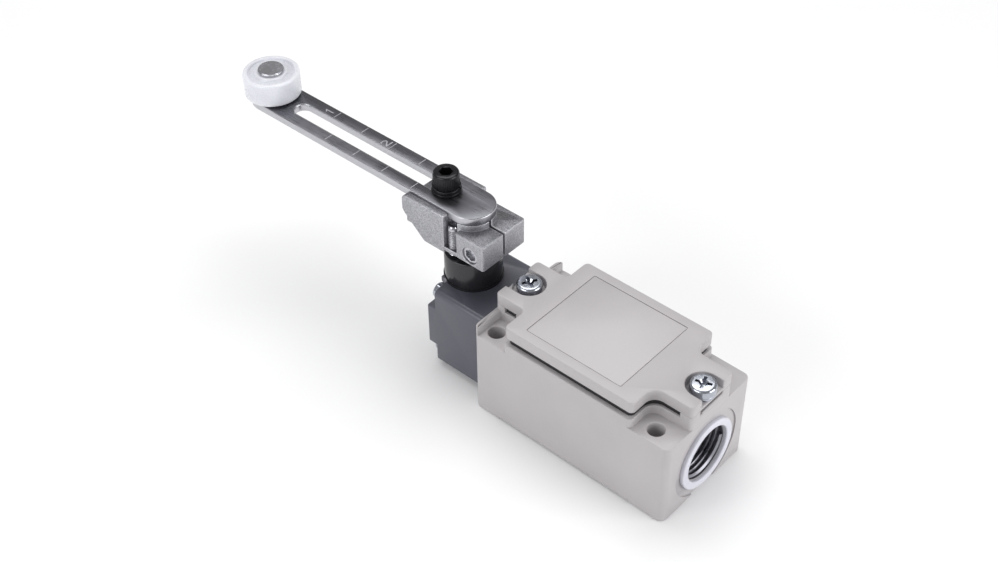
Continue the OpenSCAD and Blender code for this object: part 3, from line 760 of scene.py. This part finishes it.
def build_lock_screw():
    low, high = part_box("lock_screw")
    c = mid("lock_screw")
    foot = (c.x, c.y, 0)
    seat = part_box("lock_spring_washer")[1][2] / MM
    z0, top = low[2] / MM, high[2] / MM
    head = knurled_head(c, (high[0] - low[0]) / 2 / MM, seat, top)
    corner = 4.0 / math.sqrt(3)
    angles = [math.radians(60 * k + 12) for k in range(6)]
    socket = prism("socket", [(corner * math.cos(a), corner * math.sin(a)) for a in angles],
                   top - 2.7, top + 1, Matrix.Translation(foot))
    dimple = lathe("dimple", [(0, top - 0.45), (corner + 0.02, top - 0.12),
                              (corner + 0.3, top + 0.2), (0, top + 0.2)], foot, steps=48)
    carve(head, [dimple, socket])
    core = 2.3
    shank = lathe("lock_shank", [(0, z0), (core - 0.4, z0), (core, z0 + 0.4),
                                 (core, seat + 0.1), (0, seat + 0.1)], foot, steps=48)
    thread = helix("lock_thread", foot, "Z", core - 0.05, 0.8, seat - z0 - 1.6, 0.7, 0.24,
                   start=z0 + 0.8)
    join_as("lock_screw", [head, shank, thread])


def arc(x, z, first, last, radius, steps=7):
    """Points on an arc about (x, z) from the first to the last angle in degrees."""
    angles = [math.radians(first + (last - first) * i / steps) for i in range(steps + 1)]
    return [(x + radius * math.cos(a), z + radius * math.sin(a)) for a in angles]


def build_roller():
    """Roller with rounded rims, a recessed face and a raised boss."""
    low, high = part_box("roller")
    c = mid("roller")
    r = (high[0] - low[0]) / 2 / MM
    z0, z1 = low[2] / MM, high[2] / MM
    bore, rim = 3.05, 0.75
    face = z1 - 0.72
    profile = [(bore, z0 + 0.1), (bore + 0.1, z0)]
    profile += arc(r - rim, z0 + rim, -90, 0, rim)
    profile += arc(r - rim, z1 - rim, 0, 90, rim)
    profile += arc(8.1, z1 - 0.35, 90, 165, 0.35, 4)
    profile += [(7.6, face), (5.5, face)]
    profile += arc(4.9, z1 - 0.32, 15, 90, 0.3, 4)
    profile += [(bore + 0.1, z1 - 0.02), (bore, z1 - 0.12)]
    add("roller", lathe("roller_moulding", profile, (c.x, c.y, 0), steps=128))


build_housing()
build_screws()
build_head()
build_lever()
build_lock_screw()
build_roller()
for node, obj in frame["nodes"].items():
    if node not in replaced:
        obj.data.materials.clear()
        obj.data.materials.append(MATERIALS[SLOT[node]])
        obj.data.polygons.foreach_set("use_smooth", [True] * len(obj.data.polygons))

# ---------------------------------------------------------------- stage, light and camera


def build_stage():
    bpy.ops.mesh.primitive_plane_add(size=6, location=(0, 0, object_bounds()[0][2] - 0.0001))
    floor = bpy.context.object
    floor.name = "floor"
    g = Graph("floor_paper")
    g.feed("Base Color", g.colour(g.noise(8, 2), (0.93, 0.93, 0.93), (0.95, 0.95, 0.95)))
    g.feed("Roughness", g.remap(g.noise(900, 2), 0.3, 0.7, 0.85, 0.95))
    floor.data.materials.append(g.material)

    world = bpy.context.scene.world or bpy.data.worlds.new("studio")
    bpy.context.scene.world = world
    world.use_nodes = True
    back = world.node_tree.nodes["Background"]
    back.inputs["Color"].default_value = (1, 1, 1, 1)
    back.inputs["Strength"].default_value = 0.40


def softbox(name, place, target, size, power, tint=(1, 1, 1)):
    data = bpy.data.lights.new(name, "AREA")
    data.shape = "RECTANGLE"
    data.size, data.size_y = size
    data.energy = power
    data.color = tint
    light = bpy.data.objects.new(name, data)
    light.location = place
    light.rotation_mode = "QUATERNION"
    light.rotation_quaternion = (Vector(place) - Vector(target)).to_track_quat("Z", "Y")
    bpy.context.scene.collection.objects.link(light)


def build_light():
    aim = (0, 0.03, 0.03)
    cool = (0.98, 0.985, 1.0)
    softbox("top_box", (0.15, 0.25, 0.75), aim, (0.7, 0.5), 3.4)
    softbox("left_box", (-0.75, 0.15, 0.35), aim, (0.6, 0.4), 2.9, cool)
    softbox("front_box", (0.25, -0.75, 0.30), aim, (0.6, 0.4), 3.9, cool)


def build_camera():
    azimuth, elevation, roll = (math.radians(a) for a in (-47.865, 41.710, -0.693))
    place = (-0.256743, -0.189845, 0.342468)
    back = Vector((math.sin(azimuth) * math.cos(elevation),
                   -math.cos(azimuth) * math.cos(elevation), math.sin(elevation)))
    right = Vector((math.cos(azimuth), math.sin(azimuth), 0))
    up = back.cross(right)
    right, up = (math.cos(roll) * right + math.sin(roll) * up,
                 -math.sin(roll) * right + math.cos(roll) * up)
    data = bpy.data.cameras.new("photo_camera")
    data.lens = 54.113
    data.sensor_width = 36
    data.clip_start, data.clip_end = 0.01, 20
    camera = bpy.data.objects.new("photo_camera", data)
    turn = Matrix((right, up, back)).transposed().to_4x4()
    camera.matrix_world = Matrix.Translation(place) @ turn
    bpy.context.scene.collection.objects.link(camera)
    bpy.context.scene.camera = camera


build_stage()
build_light()
build_camera()
bpy.context.scene.view_settings.view_transform = "Standard"
